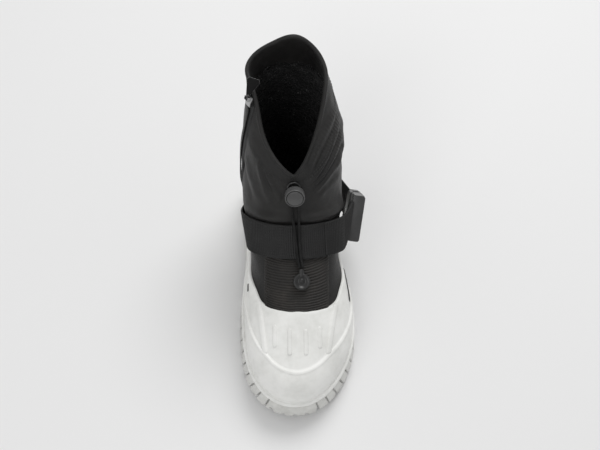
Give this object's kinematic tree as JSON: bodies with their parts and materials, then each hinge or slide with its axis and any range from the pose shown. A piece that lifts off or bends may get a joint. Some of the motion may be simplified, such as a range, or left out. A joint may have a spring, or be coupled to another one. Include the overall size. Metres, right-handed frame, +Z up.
{
  "type": "snow boot",
  "caption": "Left snow boot with a hollow fleece-lined textile shaft, rubber shell and lugged sole, an instep strap with a side-release buckle, a medial zip and a drawcord with a cord lock.",
  "frame": {"origin": "on the floor under the middle of the heel", "axes": "+Z up, the toe points along -Y, +X is the lateral (outer) side of the left foot"},
  "size_m": [0.1171, 0.2857, 0.2319],
  "materials": {
    "shell_rubber": "white rubber, satin",
    "shaft_cloth": "black quilted textile outside, dark fleece inside",
    "insole_cloth": "dark fleece covered board",
    "panel_rib": "black ribbed panel",
    "webbing": "black woven webbing",
    "cord": "black round cord",
    "buckle_plastic": "black moulded plastic",
    "grey_plastic": "dark grey moulded plastic",
    "pull_plastic": "black moulded tab",
    "zip_cloth": "black woven tape",
    "zip_metal": "silver metal",
    "grommet_metal": "dark metal"
  },
  "bodies": {
    "boot": {"outsole": "shell_rubber", "insole": "insole_cloth", "upper": "shaft_cloth", "rubber_shell": "shell_rubber", "vamp_panel": "panel_rib", "instep_strap": "webbing", "heel_strap": "webbing", "buckle_plug": "buckle_plastic", "buckle_socket": "buckle_plastic", "zip_tape": "zip_cloth", "zip_teeth": "zip_metal", "zip_stop": "zip_metal", "zip_slider": "zip_metal", "grommet": "grommet_metal", "cord_lock_body": "grey_plastic", "drawcord_medial": "cord", "drawcord_lateral": "cord", "cord_end": "grey_plastic", "inset_lateral": "buckle_plastic", "inset_medial": "buckle_plastic"},
    "zip_pull": {"zip_pull": "pull_plastic"},
    "lock_button": {"cord_lock_button": "grey_plastic"}
  },
  "joints": [
    {"name": "zip_pull_hinge", "type": "hinge", "parent": "boot", "child": "zip_pull", "pos_m": [-0.04138, -0.03232, 0.20416], "axis": [0.4492, -0.856, 0.2559], "range_deg": [0, 150]},
    {"name": "lock_button_slide", "type": "slide", "parent": "boot", "child": "lock_button", "axis": [0, 0.9276, -0.3736], "range_m": [0, 0.002], "stiffness_N_per_m": 400}
  ]
}
